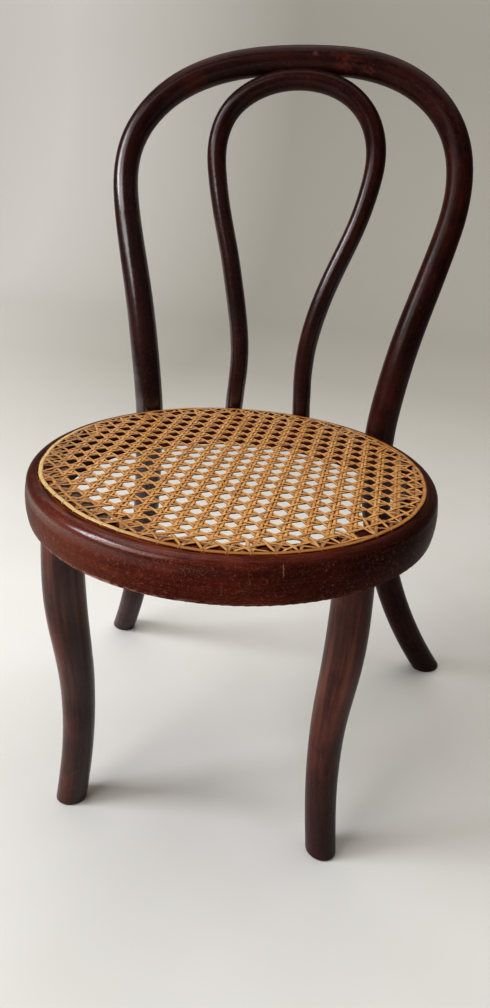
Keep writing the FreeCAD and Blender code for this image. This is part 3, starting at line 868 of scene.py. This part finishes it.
loops = under_loops()
dress(loops, cane_skin)
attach(loops, "root")
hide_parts("underside_cane_loops")

outer_rod = grained("outer_back_hoop", "outer_rod_grained", outer_line(), (0, 1, 0.25))
inner_rod = grained("inner_back_hoop", "inner_rod_grained", inner_line(), (0, 1, 0.2))
left_leg = grained("front_leg_left", "left_leg_grained", leg_line(180 + LEG_ANGLE), (-1, -1, 0))
right_leg = grained("front_leg_right", "right_leg_grained", leg_line(-LEG_ANGLE), (1, -1, 0))
dress(outer_rod, rod_wood)
dress(inner_rod, rod_wood)
dress(left_leg, leg_wood)
dress(right_leg, leg_wood)

dress(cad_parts["seat_ring"], ring_wood)
for node in ("rear_post_screws", "inner_hoop_screws", "crown_screw"):
    dress(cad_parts[node], aged_steel)
dress(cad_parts["cane_hole_pegs"], peg_wood)


# ------------------------------------------------------------------ floor, light, camera
FLOOR_HALF = 4.5          # metres
WALL_START = 1.3          # here the sheet begins to curve up
WALL_BEND = 0.6           # radius of that curve
WALL_TOP = 3.0


def floor():
    """A wide pale sheet that curves up far behind the chair."""
    columns = 48
    profile = [(-4.0, 0.0), (-1.0, 0.0), (0.0, 0.0), (0.8, 0.0), (WALL_START, 0.0)]
    for i in range(1, 13):
        a = i / 12 * math.pi / 2
        profile.append((WALL_START + WALL_BEND * math.sin(a), WALL_BEND * (1 - math.cos(a))))
    profile.append((WALL_START + WALL_BEND, WALL_TOP))
    verts = []
    for i in range(columns + 1):
        x = -FLOOR_HALF + 2 * FLOOR_HALF * i / columns
        verts += [(x, y, z) for y, z in profile]
    k = len(profile)
    faces = []
    for i in range(columns):
        for j in range(k - 1):
            a = i * k + j
            faces.append((a, a + k, a + k + 1, a + 1))
    obj = make_object("floor_sheet", verts, faces)
    g = Graph("pale_board")
    at = g.place()
    tone = g.noise(at, 6.0, 3.0)
    pale = g.mix(g.span(tone, 0.3, 0.7), rgb(222, 220, 214), rgb(230, 228, 224))
    # painted shade and light on the board: farther back it turns greyer, darkest in the middle and palest at
    # the left
    x, y, _ = g.split(at)
    backdrop_light_shade = g.mix(g.span(x, -0.95, -0.3), rgb(232, 229, 224), rgb(180, 176, 167))
    backdrop_light_shade = g.mix(g.span(x, -0.3, 0.3), backdrop_light_shade, rgb(196, 192, 184))
    g.set({"Base Color": g.mix(g.span(y, 0.1, 0.9), pale, backdrop_light_shade), "Roughness": 0.6, "Specular IOR Level": 0.2})
    dress(obj, g.material)


def area_light(name, place, target, size, energy, colour):
    data = bpy.data.lights.new(name, "AREA")
    data.shape = "RECTANGLE"
    data.size, data.size_y = size
    data.energy = energy
    data.color = colour
    obj = bpy.data.objects.new(name, data)
    obj.location = place
    obj.rotation_euler = (Vector(target) - Vector(place)).to_track_quat("-Z", "Y").to_euler()
    bpy.context.scene.collection.objects.link(obj)


floor()
# one low window at the left gives the highlights; the other two are the soft light of the room
area_light("window", (-1.35, -0.5, 1.2), (0, 0.05, 0.2), (0.55, 0.75), 23, (0.9, 0.93, 1.0))
area_light("room_front", (-1.15, -1.35, 1.4), (0, 0.0, 0.2), (1.1, 1.2), 20, (1.0, 0.985, 0.96))
area_light("sky_above", (0.0, 0.5, 2.1), (0, 0.3, 0.2), (2.6, 2.2), 30, (1.0, 0.98, 0.94))

world = bpy.data.worlds.new("room")
bpy.context.scene.world = world
world.use_nodes = True
tree = world.node_tree
tree.nodes.clear()
background = tree.nodes.new("ShaderNodeBackground")
background.inputs["Color"].default_value = (1.0, 0.96, 0.9, 1.0)
background.inputs["Strength"].default_value = 0.06
out = tree.nodes.new("ShaderNodeOutputWorld")
tree.links.new(background.outputs[0], out.inputs[0])

# close in front of the chair, above the seat and a little to the right
camera_data = bpy.data.cameras.new("camera")
camera_data.sensor_width = 36.0
camera_data.lens = 27.671
camera = bpy.data.objects.new("camera", camera_data)
camera.location = (0.06829, -0.39569, 0.33931)
camera.rotation_mode = "QUATERNION"
camera.rotation_quaternion = (0.832356, 0.542852, 0.035067, 0.106138)
camera_data.clip_start = 0.01
camera_data.clip_end = 50
bpy.context.scene.collection.objects.link(camera)
bpy.context.scene.camera = camera
bpy.context.scene.view_settings.view_transform = "Standard"
bpy.context.scene.view_settings.gamma = 0.86
